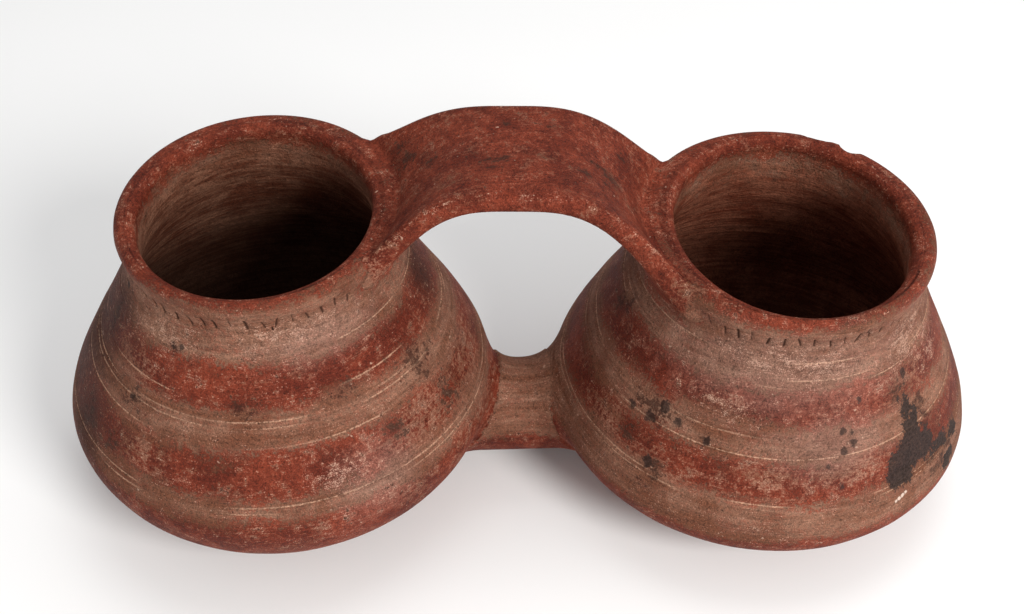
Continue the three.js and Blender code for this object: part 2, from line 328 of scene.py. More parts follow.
def shape_rim(jar, radius, angle, height, oval, shift):
    """Turns radius, angle and height into a point, with the oval and lean of the rim."""
    share, fade = rim_shares(jar, height)
    stretch = math.sqrt(oval[0] / oval[1])
    x = radius * np.cos(angle) * (1 + (stretch - 1) * fade)
    y = radius * np.sin(angle) * (1 + (1 / stretch - 1) * fade)
    x = x + jar_x(jar) + jar["lean"][0] * share + shift[0] * fade
    behind = y + shift[1] * fade
    return np.stack([x, behind + jar["lean"][1] * share, height + rim_tilt(jar, behind) * fade], -1)


def upright(jar, points):
    """The reverse for the outer side: the radius and height that give these points."""
    height = points[:, 2]
    for _ in range(2):
        share, fade = rim_shares(jar, height)
        height = points[:, 2] - rim_tilt(jar, points[:, 1] - jar["lean"][1] * share) * fade
    stretch = math.sqrt(jar["lip"][0] / jar["lip"][1])
    x = (points[:, 0] - jar_x(jar) - jar["lean"][0] * share) / (1 + (stretch - 1) * fade)
    y = (points[:, 1] - jar["lean"][1] * share) / (1 + (1 / stretch - 1) * fade)
    return np.hypot(x, y), height


def skin_rows(kind, jar, level, angle, nick=0.0, line=FAR, score=0.0):
    """What is known of the vertices of a row beside their places."""
    table = np.empty((len(angle), 7))
    for column, value in enumerate((kind, jar["side"], level, angle, nick, line, score)):
        table[:, column] = value
    return table


def outer_rows(jar):
    outline = Outline(outer_outline(jar))
    count = 3 * jar["nicks"]
    nick_low = outline.place_of(jar["nick_height"] - NICK_HALF - 2.5)
    nick_high = outline.place_of(jar["nick_height"] + NICK_HALF + 2.5)
    under = outline.place_of(jar["belly_height"] - 16)
    grooves = [outline.place_of(height) for height in jar["grooves"]]
    reach = GROOVE_ROWS[-1] + BODY_STEP / 3
    body = [p for p in np.arange(under, nick_low - 0.8, BODY_STEP)
            if all(abs(p - g) > reach for g in grooves)]
    for number, groove in enumerate(grooves):
        near = [abs(groove - other) for other in grooves[:number] + grooves[number + 1:]]
        offsets = [row for row in GROOVE_ROWS if abs(row) < min(near) / 2]
        body += [groove + row for row in offsets]
    places = np.concatenate([
        np.arange(FOOT_STEP, jar["foot"], FOOT_STEP),
        np.arange(jar["foot"], under - 1, UNDER_STEP),
        sorted(body),
        np.arange(nick_low, nick_high, NICK_STEP),
        np.arange(nick_high, outline.total, LIP_STEP),
        [outline.total],
    ])
    stray = waves(jar["seed"] + 40, 8, 4, 0.02)
    lumps = waves(jar["seed"], 14, 5, 0.05)
    ripple = waves(jar["seed"] + 1, 40, 22, 0.45, power=0.3)
    fading = waves(jar["seed"] + 2, 20, 9, 0.5, power=0.2)
    nicks = nick_pattern(jar)
    centre = np.zeros(1)
    rows = [shape_rim(jar, centre, centre, centre, jar["lip"], (0, 0))]
    skins = [skin_rows(OUTSIDE, jar, 0.0, centre)]
    for place in places:
        turns = count * 2 if place >= nick_low else count
        angle = np.arange(turns) * 2 * math.pi / turns
        level = outline.at(place)[1]
        cut, shade = np.zeros(turns), np.zeros(turns)
        if place >= nick_low:
            angle, cut, shade = nicks(angle, level)
        free = smoothstep(1.0, 8.0, level) * smoothstep(0, 5.0, jar["height"] - level)
        moved = place + stray(angle, level) * STRAY * free
        radius, height = outline.at(moved)
        out_r, out_z = outline.outward(moved)
        push = -LUMPS * (1 + np.clip(lumps(angle, level), -1, 1)) * free
        push += RIPPLE * (np.clip(ripple(angle, level), -1, 1) - 1) * free
        gaps = [place - groove for groove in grooves]
        scores = [np.clip(0.5 + 1.5 * fading(angle, groove * 1.7), 0.0, 1.0) for groove in grooves]
        for score, gap in zip(scores, gaps):
            push -= GROOVE_DEPTH * score * math.exp(-(gap / GROOVE_WIDTH) ** 2)
        nearest = min(range(len(gaps)), key=lambda number: abs(gaps[number]))
        push -= cut
        row = shape_rim(jar, radius + out_r * push, angle, height + out_z * push,
                        jar["lip"], (0, 0))
        if level > jar["height"] - LIP_ROUND:
            row = squeeze_lip(jar, row, angle, True)
        rows.append(chipped(jar, row, angle))
        skins.append(skin_rows(OUTSIDE, jar, level, angle, shade, gaps[nearest], scores[nearest]))
    return rows, skins


def nick_pattern(jar):
    """Angles of the fine columns and depth of the nicks, as a function of height."""
    rng = np.random.default_rng(jar["seed"] + 5)
    number, radius = jar["nicks"], jar["neck"]
    centres = (np.arange(number) + rng.uniform(-0.13, 0.13, number)) * 2 * math.pi / number
    slants = rng.normal(-0.12, 0.16, number)
    halves = NICK_HALF * rng.uniform(0.75, 1.15, number)
    shifts = rng.normal(0, 0.45, number)
    depths = rng.uniform(0.45, 1.15, number)
    facing = np.cos(centres - (0 if jar["side"] < 0 else math.pi))
    depths[facing > math.cos(math.radians(NICK_GAP))] = 0
    offsets = np.array(NICK_COLUMNS)

    def pattern(angle, height):
        rise = height - jar["nick_height"]
        near = smoothstep(NICK_HALF + 2.6, NICK_HALF + 0.6, abs(rise))
        lean = slants * np.clip(rise, -3, 3)
        wanted = (centres[:, None] + (offsets + lean[:, None]) / radius).ravel()
        angle = angle + near * (wanted - angle)
        along = np.abs(rise - shifts) / halves
        depth = depths * smoothstep(1.15, 0.75, along)
        share = (depth[:, None] * np.exp(-(offsets / NICK_WIDTH) ** 2)).ravel()
        return angle, share * NICK_DEPTH, share
    return pattern


def chipped(jar, row, angle):
    """Flattens the outer edge of the right rim where it is chipped."""
    if jar["side"] < 0:
        return row
    for where, half, depth in CHIPS:
        along = (np.degrees(angle) - where + 180) % 360 - 180
        share = np.clip(1 - (np.radians(along) * lip_radius(jar) / half) ** 2, 0, 1) ** 0.7
        out = np.stack([np.cos(angle), np.sin(angle), np.ones(angle.shape)], 1) / math.sqrt(2)
        edge = np.array([jar_x(jar) + jar["lean"][0], jar["lean"][1], jar["height"]])
        behind = jar["lip"][1] * np.sin(angle)
        edge = edge + np.stack([jar["lip"][0] * np.cos(angle), behind, rim_tilt(jar, behind)], 1)
        level = ((row - edge) * out).sum(1) + LIP_ROUND * (math.sqrt(2) - 1)
        over = np.maximum(level + depth * share, 0) * (share > 0)
        row = row - out * np.minimum(over, depth * share)[:, None]
    return row


def inner_rows(jar):
    outline = Outline(inner_outline(jar))
    count = 3 * jar["nicks"]
    places = np.concatenate([
        np.arange(0, 6, LIP_STEP),
        np.arange(6, 70, INSIDE_STEP),
        np.arange(70, outline.total - 3, DEEP_STEP),
    ])
    lumps = waves(jar["seed"] + 11, 14, 5, 0.05)
    wiping = waves(jar["seed"] + 12, 60, 3, 1.6, power=0.1)
    rows, skins = [], []
    for place in places:
        turns = count * 2 if place < 6 else count
        angle = np.arange(turns) * 2 * math.pi / turns
        radius, height = outline.at(place)
        out_r, out_z = outline.outward(place)
        free = smoothstep(2.0, 9.0, place)
        push = (INSIDE_LUMPS * lumps(angle, height) + WIPING * wiping(angle, place)) * free
        row = shape_rim(jar, radius + out_r * push, angle, height + out_z * push,
                        jar["mouth"], jar["mouth_shift"])
        if height > jar["height"] - MOUTH_ROUND:
            row = squeeze_lip(jar, row, angle, False)
        rows.append(row)
        skins.append(skin_rows(HOLLOW, jar, place, angle))
    centre = np.zeros(1)
    rows.append(shape_rim(jar, centre, centre, np.full(1, FLOOR), jar["mouth"], (0, 0)))
    skins.append(skin_rows(HOLLOW, jar, outline.total, centre))
    return rows, skins


def squeeze_lip(jar, row, angle, outside):
    """Draws the rounded edges of the lip together where the wall is thinner than both."""
    edges = []
    for half, shift in ((jar["lip"], (0, 0)), (jar["mouth"], jar["mouth_shift"])):
        edges.append(np.stack([jar_x(jar) + jar["lean"][0] + shift[0] + half[0] * np.cos(angle),
                               jar["lean"][1] + shift[1] + half[1] * np.sin(angle)], 1))
    wall = np.hypot(*(edges[0] - edges[1]).T)
    share = np.minimum(1, (wall - LIP_FLAT) / (LIP_ROUND + MOUTH_ROUND))[:, None]
    edge = edges[0] if outside else edges[1]
    row[:, :2] = edge + (row[:, :2] - edge) * share
    return row


def stitch(rows):
    """Joins rows of points around an axis, where a row may have twice or half as many."""
    faces = []
    start = 0
    for low, high in zip(rows[:-1], rows[1:]):
        a, b = len(low), len(high)
        low_at = [start + i for i in range(a)]
        high_at = [start + a + i for i in range(b)]
        if a == 1:
            faces += [(low_at[0], high_at[(j + 1) % b], high_at[j]) for j in range(b)]
        elif b == 1:
            faces += [(low_at[j], low_at[(j + 1) % a], high_at[0]) for j in range(a)]
        elif a == b:
            faces += [(low_at[j], low_at[(j + 1) % a], high_at[(j + 1) % a], high_at[j])
                      for j in range(a)]
        else:
            few, many = (low_at, high_at) if a < b else (high_at, low_at)
            for j in range(len(few)):
                one, two, three = (many[(2 * j + k) % len(many)] for k in range(3))
                here, there = few[j], few[(j + 1) % len(few)]
                made = [(here, two, one), (here, there, two), (there, three, two)]
                faces += made if a < b else [(p, r, q) for p, q, r in made]
        start += a
    return np.vstack(rows), faces


def jar_mesh(jar):
    outer, outer_skins = outer_rows(jar)
    inner, inner_skins = inner_rows(jar)
    lip = (outer[-1] + inner[0]) / 2
    angle = np.arange(len(lip)) * 2 * math.pi / len(lip)
    lip_skin = skin_rows(OUTSIDE, jar, jar["height"], angle)
    points, faces = stitch(outer + [lip] + inner)
    return points, faces, np.vstack(outer_skins + [lip_skin] + inner_skins)


def outside_lip(jar, x, y):
    dx = (x - jar_x(jar) - jar["lean"][0]) / jar["lip"][0]
    dy = (y - jar["lean"][1]) / jar["lip"][1]
    return (np.hypot(dx, dy) - 1) * lip_radius(jar)


def strap_climb(jar, x, y):
    """Height and slope of the strap's top."""
    reach = abs(STRAP["crown_x"] - jar_x(jar)) - jar["lip"][0] + STRAP["overlap"]
    share = np.clip(1 - (outside_lip(jar, x, y) + STRAP["overlap"]) / reach, 0, 1)
    start = jar["height"] + rim_tilt(jar, y - jar["lean"][1]) - STRAP["sink"]
    rise = STRAP["crown_height"] - start
    top = start + rise * (1 - share ** STRAP["climb"])
    return top, rise / reach * STRAP["climb"] * share ** (STRAP["climb"] - 1)


def strap_depth(x, slope):
    """Thickness of the strap, measured upright. Its ends thin out inside the lips."""
    taper = 1 - STRAP_TAPER[2] * smoothstep(STRAP_TAPER[0], STRAP_TAPER[1], np.abs(x))
    return STRAP["thickness"] * np.sqrt(1 + slope ** 2) * taper


def strap_half(x):
    run = np.abs(x - STRAP["crown_x"]) / STRAP["flare_reach"]
    return STRAP["half_width"] + STRAP["flare"] * run ** 3


def strap_middle(x):
    share = (x + SPACING / 2) / SPACING
    left, right = (jar["lean"][1] + offset for jar, offset in zip((LEFT, RIGHT), STRAP["offset"]))
    return left * (1 - share) + right * share


def strap_y(x, column):
    return strap_middle(x) + column * (strap_half(x) - STRAP["edge"])


def solve(inside, outside, is_inside):
    """Finds where a line of points passes out of a shape, by halving."""
    for _ in range(30):
        middle = (inside + outside) / 2
        within = is_inside(middle)
        inside = np.where(within, middle, inside)
        outside = np.where(within, outside, middle)
    return inside


def strap_end(jar, columns):
    limit = np.full(columns.shape, jar_x(jar) - jar["side"] * STRAP["end_reach"])
    crown = np.full(columns.shape, STRAP["crown_x"])
    found = solve(limit, crown,
                  lambda x: outside_lip(jar, x, strap_y(x, columns)) < -STRAP["inset"])
    blocked = outside_lip(jar, limit, strap_y(limit, columns)) > -STRAP["inset"]
    return np.where(blocked, limit, found)


def strap_mesh(columns=33, corner=7, steps=38):
    across = np.linspace(-1, 1, columns)
    turn = np.linspace(0, math.pi, corner + 2)[1:-1]
    worn = waves(21, 24, 6, 0.09)
    rings = []
    halves = ((LEFT, np.linspace(1, 0, steps + 1)), (RIGHT, np.linspace(0, 1, steps + 1)[1:]))
    for jar, shares in halves:
        end = strap_end(jar, across)
        for share in np.sin(math.pi / 2 * shares):
            x = STRAP["crown_x"] * (1 - share) + end * share
            y = strap_y(x, across)
            top, slope = strap_climb(jar, x, y)
            depth = strap_depth(x, slope)
            wear = smoothstep(0.0, 8.0, outside_lip(jar, x, y))
            top = top - STRAP_LUMPS * (1 + np.clip(worn(y * 0.06, x), -1, 1)) * wear
            upper = np.stack([x, y, top], 1)
            lower = np.stack([x, y, top - depth], 1)
            rings.append(np.vstack([
                upper,
                strap_edge(upper[-1], lower[-1], 1, turn),
                lower[::-1],
                strap_edge(upper[0], lower[0], -1, turn)[::-1],
            ]))
    points, faces = loft(rings, columns, corner)
    return points, faces, skin_rows(HANDLE, LEFT, 0.0, points[:, 0] * 0)


def strap_edge(upper, lower, direction, turn):
    """A half round between the top and the underside."""
    half = (upper[2] - lower[2]) / 2
    points = np.repeat(((upper + lower) / 2)[None], len(turn), 0)
    points[:, 1] += direction * STRAP["edge"] * np.sin(turn) ** 0.7
    points[:, 2] += half * np.cos(turn)
    return points


def loft(rings, columns, corner):
    count = len(rings[0])
    faces = []
    for i in range(len(rings) - 1):
        for j in range(count):
            a, b = i * count + j, i * count + (j + 1) % count
            faces.append((a, a + count, b + count, b))
    for start, forward in ((0, True), ((len(rings) - 1) * count, False)):
        under = [start + columns + corner + columns - 1 - i for i in range(columns)]
        caps = [(start + i, start + i + 1, under[i + 1], under[i]) for i in range(columns - 1)]
        caps.append(tuple(range(start + columns - 1, start + columns + corner + 1)))
        caps.append(tuple(range(start + 2 * columns + corner - 1, start + count)) + (start,))
        faces += caps if forward else [cap[::-1] for cap in caps]
    return np.vstack(rings), faces


def round_bar(kind, radius, ends, around=72, steps=26, rounds=(0.8, 0.6, 0.4, 0.2)):
    """A bar along X. ends gives X of the left and right end for each y and z."""
    angle = np.arange(around) * 2 * math.pi / around
    y, z = radius * np.cos(angle), radius * np.sin(angle)
    middle = TUBE["height"]
    left, right = ends(y, z)
    hub_left, hub_right = ends(np.zeros(1), np.zeros(1))
    rows = [np.stack([hub_left, [0.0], [middle]], 1)]
    for share in rounds[::-1]:
        rows.append(np.stack([ends(share * y, share * z)[0], share * y, share * z + middle], 1))
    for share in np.linspace(0, 1, steps + 1):
        rows.append(np.stack([left * (1 - share) + right * share, y, z + middle], 1))
    for share in rounds:
        rows.append(np.stack([ends(share * y, share * z)[1], share * y, share * z + middle], 1))
    rows.append(np.stack([hub_right, [0.0], [middle]], 1))
    points, faces = stitch(rows)
    turned = np.arctan2(points[:, 2] - middle, points[:, 1])
    return points, faces, skin_rows(kind, LEFT, 0.0, turned)


def tube_ends(y, z):
    """The tube ends inside the walls of both jars, at an even depth."""
    found = []
    for jar in (LEFT, RIGHT):
        def buried(x, jar=jar):
            points = np.stack([x, y, z + TUBE["height"]], 1)
            return jar_distance(jar, points) < -TUBE["depth"]
        inside = np.full(y.shape, jar_x(jar) - jar["side"] * 30)
        found.append(solve(inside, np.zeros(y.shape), buried))
    return found


def bore_ends(y, z):
    return np.full(y.shape, -TUBE["bore_half"]), np.full(y.shape, TUBE["bore_half"])


def jar_distance(jar, points):
    """Signed distance to the outer side of a jar, negative in the clay and in the hollow."""
    radius, height = upright(jar, points)
    outline = jar.setdefault("outline", np.vstack([outer_outline(jar)[::2], [(0.0, jar["height"])]]))
    a, span = outline[:-1], np.diff(outline, axis=0)
    size = (span ** 2).sum(1)
    best = np.empty(len(points))
    for first in range(0, len(points), 20000):
        part = slice(first, first + 20000)
        gap = np.stack([radius[part], height[part]], 1)[:, None] - a
        share = np.clip((gap * span).sum(2) / size, 0, 1)
        best[part] = np.sqrt(((gap - span * share[..., None]) ** 2).sum(2).min(1))
    rising = outline[:, 1] + np.arange(len(outline)) * 1e-9
    within = (radius < np.interp(height, rising, outline[:, 0])) & (height > 0)
    within &= height < jar["height"]
    return np.where(within, -best, best)


def body_distance(points):
    """Signed distance to the nearer jar."""
    result = np.empty(len(points))
    for jar in (LEFT, RIGHT):
        own = points[:, 0] * jar["side"] >= 0
        result[own] = jar_distance(jar, points[own])
    return result


def strap_distance(points):
    x, y, z = points.T
    left = x < STRAP["crown_x"]
    top_left, slope_left = strap_climb(LEFT, x, y)
    top_right, slope_right = strap_climb(RIGHT, x, y)
    top = np.where(left, top_left, top_right)
    slope = np.where(left, slope_left, slope_right)
    factor = np.sqrt(1 + slope ** 2)
    edge = STRAP["edge"]
    across = np.abs(y - strap_middle(x)) - (strap_half(x) - edge)
    through = np.maximum(z - top, top - z - strap_depth(x, slope)) / factor + edge
    outer = np.hypot(np.maximum(across, 0), np.maximum(through, 0))
    return outer + np.minimum(np.maximum(across, through), 0) - edge


def tube_distance(points):
    return np.hypot(points[:, 1], points[:, 2] - TUBE["height"]) - TUBE["radius"]


def soft_least(a, b, width):
    share = np.maximum(width - np.abs(a - b), 0) / width
    return np.minimum(a, b) - share ** 2 * width / 4


def slope_of(field, points, step=0.05):
    """The direction in which a distance grows."""
    value = field(points)
    return value, np.stack([(field(points + move) - value) / step for move in np.eye(3) * step], 1)


def near_strap(points):
    """Points around the strap, outside the mouths."""
    near = (points[:, 2] > 85) & (np.abs(points[:, 0]) < 76)
    near &= np.abs(points[:, 1]) < 75
    for jar in (LEFT, RIGHT):
        near &= outside_lip(jar, points[:, 0], points[:, 1]) > -6.5
    return near


def strap_corner(points):
    """The strap's fillets fade out on top of the lips and where the strap ends."""
    x, y = points[:, 0], points[:, 1]
    outside = np.minimum(outside_lip(LEFT, x, y), outside_lip(RIGHT, x, y))
    return smoothstep(-1.5, 2.5, outside) * smoothstep(68.0, 58.0, np.abs(x))


def tube_corner(points):
    return np.ones(len(points))


def near_tube(points):
    return (np.abs(points[:, 0]) < 62) & (tube_distance(points) < 16)


def fill_corners(points, near, other_distance, corner, width):
    """Moves the points near a joint out to a soft fillet between the jars and what is luted on."""
    chosen = np.nonzero(near(points))[0]
    spots = points[chosen]
    body, other = body_distance(spots), other_distance(spots)
    goal = np.minimum(body, other)
    kept = (np.abs(body - other) < width) & (goal > FILLET_START[0])
    chosen, spots, goal = chosen[kept], spots[kept], goal[kept]
    weight = smoothstep(*FILLET_START, goal)[:, None]
    start = spots.copy()
    slopes = [slope_of(distance, spots)[1] for distance in (body_distance, other_distance)]
    sizes = [np.maximum(np.linalg.norm(slope, axis=1), 0.3) for slope in slopes]
    facing = (slopes[0] * slopes[1]).sum(1) / sizes[0] / sizes[1]
    widths = width * smoothstep(0.95, 0.45, facing) * corner(start) + 0.01

    def field(at):
        return soft_least(body_distance(at), other_distance(at), widths)
    for _ in range(3):
        value, slope = slope_of(field, spots)
        size = np.maximum((slope ** 2).sum(1), 0.25)
        spots = spots - ((value - goal) / size)[:, None] * slope
    moved = points.copy()
    moved[chosen] = start + (spots - start) * weight
    return moved


def make_object(name, points, faces):
    mesh = bpy.data.meshes.new(name)
    mesh.from_pydata(points.tolist(), [], faces)
    mesh.validate()
    made = bpy.data.objects.new(name, mesh)
    bpy.context.collection.objects.link(made)
    return made


def combine(base, other, operation):
    step = base.modifiers.new(operation.lower(), "BOOLEAN")
    step.operation = operation
    step.object = other
    step.solver = "MANIFOLD"
    bpy.context.view_layer.update()
    graph = bpy.context.evaluated_depsgraph_get()
    mesh = bpy.data.meshes.new_from_object(base.evaluated_get(graph))
    base.modifiers.remove(step)
    old = base.data
    base.data = mesh
    bpy.data.meshes.remove(old)
    spare = other.data
    bpy.data.objects.remove(other)
    bpy.data.meshes.remove(spare)


def nearest_skin(points, known, skins):
    """Hands each point the skin values of the nearest vertex that the shapes were made from."""
    tree = kdtree.KDTree(len(known))
    for number, point in enumerate(known.tolist()):
        tree.insert(point, number)
    tree.balance()
    return skins[[tree.find(point)[1] for point in points.tolist()]]


def double_jar():
    parts = [
        jar_mesh(LEFT),
        jar_mesh(RIGHT),
        strap_mesh(),
        round_bar(LINK, TUBE["radius"], tube_ends),
        round_bar(BORE, TUBE["bore"], bore_ends),
    ]
    operations = (None, "UNION", "UNION", "UNION", "DIFFERENCE")
    body = None
    for (points, faces, _), operation in zip(parts, operations):
        piece = make_object("double_jar_clay" if body is None else "part", points, faces)
        if body is None:
            body = piece
        else:
            combine(body, piece, operation)
    mesh = body.data
    flat = np.empty(len(mesh.vertices) * 3)
    mesh.vertices.foreach_get("co", flat)
    points = flat.reshape(-1, 3)
    skins = nearest_skin(points, np.vstack([p[0] for p in parts]), np.vstack([p[2] for p in parts]))
    points = fill_corners(points, near_strap, strap_distance, strap_corner, STRAP_FILLET)
    points = fill_corners(points, near_tube, tube_distance, tube_corner, TUBE_FILLET)
    for name, values in surface_values(points, skins).items():
        layer = mesh.attributes.new(name, "FLOAT", "POINT")
        layer.data.foreach_set("value", values.astype(np.float32))
    layer = mesh.attributes.new("lathe", "FLOAT_VECTOR", "POINT")
    layer.data.foreach_set("vector", lathe_places(points, skins).astype(np.float32).ravel())
    placed = (points - np.array(MIDDLE)) * MM
    mesh.vertices.foreach_set("co", placed.ravel())
    mesh.polygons.foreach_set("use_smooth", [True] * len(mesh.polygons))
    mesh.update()
    return body


def mark_values(marks, side, angle, level, soft):
    """Strength of a list of marks. Crisp ones give millimetres inside their edge."""
    lowest = 0.0 if soft else -FAR
    total = np.full(len(angle), lowest)
    for mark_side, mark_angle, mark_level, half_around, half_up in marks:
        jar = LEFT if mark_side < 0 else RIGHT
        turn = (angle - math.radians(mark_angle) + math.pi) % (2 * math.pi) - math.pi
        away = np.hypot(turn * radius_at(jar, mark_level) / half_around,
                        (level - mark_level) / half_up)
        strength = np.exp(-away ** 2) if soft else (1 - away) * min(half_around, half_up)
        total = np.maximum(total, np.where(side == mark_side, strength, lowest))
    return total


def radius_at(jar, level):
    rising = outer_outline(jar)
    return np.interp(level, rising[:, 1] + np.arange(len(rising)) * 1e-9, rising[:, 0])


def slip_values(points, skins):
    """Millimetres from the border of the red slip, above zero within it."""
    kind, side, level, angle = skins[:, :4].T
    slip = np.full(len(points), -FAR)
    for jar in (LEFT, RIGHT):
        own = (kind == OUTSIDE) & (side == jar["side"])
        away = jar["side"] * np.cos(angle[own])
        best = level[own] - jar["height"] + LIP_RED + jar["side_red"] * smoothstep(0.55, 0.98, away)
        for low, high in jar["red"]:
            best = np.maximum(best, np.minimum(level[own] - low, high - level[own]))
        slip[own] = best
    slip[kind == HOLLOW] = FAR - level[kind == HOLLOW]
    by_strap = near_strap(points) & (points[:, 2] > 100)
    slip[by_strap] = np.maximum(slip[by_strap], 0.8 - strap_distance(points[by_strap]))
    for jar in (LEFT, RIGHT):
        root = (kind == HANDLE) & (points[:, 0] * jar["side"] > 0)
        low = LIP_RED + 1.5 + points[root, 2] - jar["height"]
        slip[root] = FAR + (low - FAR) * smoothstep(48.0, 56.0, np.abs(points[root, 0]))
    slip[kind == LINK] = (27.0 - points[:, 2])[kind == LINK]
    return slip


def surface_values(points, skins):
    """The masks that the material reads, one number for each vertex."""
    kind, side, level, angle, nick, line, score = skins.T
    x, y, _ = points.T
    outside, hollow, handle = kind == OUTSIDE, kind == HOLLOW, kind == HANDLE
    values = {}
    for name, marks in (("worn", WORN), ("bloom_and_edge_light", BLOOM), ("cloud_and_shade", CLOUD_AND_SHADE), ("smoke", SMOKE),
                        ("veil_and_light", VEIL_AND_LIGHT)):
        values[name] = mark_values(marks, side, angle, level, True) * outside
    for smudge_x, smudge_y, half_x, half_y in SMUDGES:
        away = np.hypot((x - smudge_x) / half_x, (y - smudge_y) / half_y)
        values["smoke"] = np.maximum(values["smoke"], 1.2 * handle * np.exp(-away ** 2))

    # The strap's edges are pale, partly from wear and partly as painted light on their rounded sides, and
    # worn at the front where it meets the lips
    edge = np.abs(y - strap_middle(x)) - strap_half(x)
    rim = smoothstep(-3.4, -1.8, edge) * smoothstep(1.0, -1.4, edge) * handle
    values["bloom_and_edge_light"] = np.where(handle, 0.9 * rim - 0.5, values["bloom_and_edge_light"])
    root = smoothstep(-9.0, -1.0, edge) * smoothstep(40.0, 54.0, np.abs(x)) * (y < 0) * handle
    values["worn"] = np.maximum(values["worn"], 0.9 * root)
    # The painted shade on the left flank is strongest on the left jar
    values["cloud_and_shade"] *= np.where(side < 0, CLOUD_AND_SHADE_SHARE[0], CLOUD_AND_SHADE_SHARE[1])
    soot = np.where(outside, mark_values(SOOT, side, angle, level, False), -FAR)
    return {
        "slip": np.clip(slip_values(points, skins), -12, 12),
        "line": np.where(outside, np.abs(line), FAR),
        "score": score,
        "nick": np.where(outside, nick, 0.0),
        "soot": np.clip(soot, -6, 6),
        # Depth in the hollows, which also drives their painted shade; the bore is set deep so it is
        # painted dark as shade
        "deep": np.where(hollow, level * np.where(side < 0, HOLLOW_SHADE_RATE[0], HOLLOW_SHADE_RATE[1]),
                         np.where(kind == BORE, 90.0, 0.0)),
        "warm": hollow * (side > 0),
        **values,
    }


def turned_place(side, angle, level):
    """A place on a jar where the potter's wiping runs along the first two axes."""
    around = 70.0 + side * 3.0
    return [around * np.cos(angle) + 400.0 * (side > 0), around * np.sin(angle), level]


def lathe_places(points, skins):
    """Turned places, set apart for the jars, the hollows, the strap and the tube."""
    kind, side, level, angle = skins[:, :4].T
    x, y, z = points.T
    places = np.stack(turned_place(side, angle, level), 1)
    places[kind == HOLLOW, 0] += 900.0
    strap = kind == HANDLE
    places[strap] = np.stack([x, 0.3 * z + 2000, y], 1)[strap]
    link = (kind == LINK) | (kind == BORE)
    places[link] = np.stack([x + 3000, 0 * x, 18.5 * angle], 1)[link]
    return places


def linear(red, green, blue):
    """A colour as it looks on a screen, 0 to 255, as the linear values that nodes take."""
    values = []
    for value in (red, green, blue):
        value /= 255
        values.append(value / 12.92 if value <= 0.04045 else ((value + 0.055) / 1.055) ** 2.4)
    return (*values, 1.0)


class Graph:
    """Short names for the nodes of a material."""

    def __init__(self, material):
        material.use_nodes = True
        self.tree = material.node_tree
        self.tree.nodes.clear()

    def add(self, kind, **settings):
        made = self.tree.nodes.new(kind)
        for name, value in settings.items():
            setattr(made, name, value)
        return made

    def set(self, socket, value):
        if isinstance(value, bpy.types.NodeSocket):
            self.tree.links.new(value, socket)
        else:
            socket.default_value = value

    def value(self, name):
        return self.add("ShaderNodeAttribute", attribute_name=name).outputs["Fac"]

    def vector(self, name):
        return self.add("ShaderNodeAttribute", attribute_name=name).outputs["Vector"]

    def math(self, operation, first, second=0.0, third=0.0):
        made = self.add("ShaderNodeMath", operation=operation)
        for socket, value in zip(made.inputs, (first, second, third)):
            self.set(socket, value)
        return made.outputs[0]

    def plus(self, *terms):
        """A sum. A noise comes as a pair, with the size of its swing around zero."""
        terms = [self.swing(*term) if isinstance(term, tuple) else term for term in terms]
        total = terms[0]
        for term in terms[1:]:
            total = self.math("ADD", total, term)
        return total

    def times(self, first, second):
        return self.math("MULTIPLY", first, second)

    def scaled(self, vector, scale):
        made = self.add("ShaderNodeVectorMath", operation="MULTIPLY")
        self.set(made.inputs[0], vector)
        made.inputs[1].default_value = scale
        return made.outputs[0]

    def noise(self, vector, scale, detail=3.0, rough=0.55, warp=0.0):
        made = self.add("ShaderNodeTexNoise")
        self.set(made.inputs["Vector"], vector)
        names = ("Scale", "Detail", "Roughness", "Distortion")
        for name, value in zip(names, (scale, detail, rough, warp)):
            made.inputs[name].default_value = value
        return made.outputs["Fac"]

    def swing(self, noise, size):
        """A noise of 0 to 1 as a swing of about minus to plus size."""
        return self.math("MULTIPLY_ADD", noise, 4.0 * size, -2.0 * size)

    def step(self, value, low, high):
        made = self.add("ShaderNodeMapRange", interpolation_type="SMOOTHSTEP")
        self.set(made.inputs["Value"], value)
        made.inputs["From Min"].default_value = low
        made.inputs["From Max"].default_value = high
        return made.outputs["Result"]

    def mix(self, share, first, second, blend="MIX"):
        made = self.add("ShaderNodeMix", data_type="RGBA", blend_type=blend)
        for number, value in ((0, share), (6, first), (7, second)):
            self.set(made.inputs[number], value)
        return made.outputs[2]

    def inside(self, lathe, specks):
        """Millimetres inside the nearest of a list of round specks."""
        deepest = -FAR
        for side, angle, level, radius in specks:
            away = self.add("ShaderNodeVectorMath", operation="DISTANCE")
            self.set(away.inputs[0], lathe)
            away.inputs[1].default_value = turned_place(side, math.radians(angle), level)
            within = self.math("SUBTRACT", radius, away.outputs["Value"])
            deepest = self.math("MAXIMUM", deepest, within)
        return deepest

    def bump(self, height, distance):
        made = self.add("ShaderNodeBump")
        made.inputs["Strength"].default_value = 1.0
        made.inputs["Distance"].default_value = distance
        self.set(made.inputs["Height"], height)
        return made.outputs["Normal"]


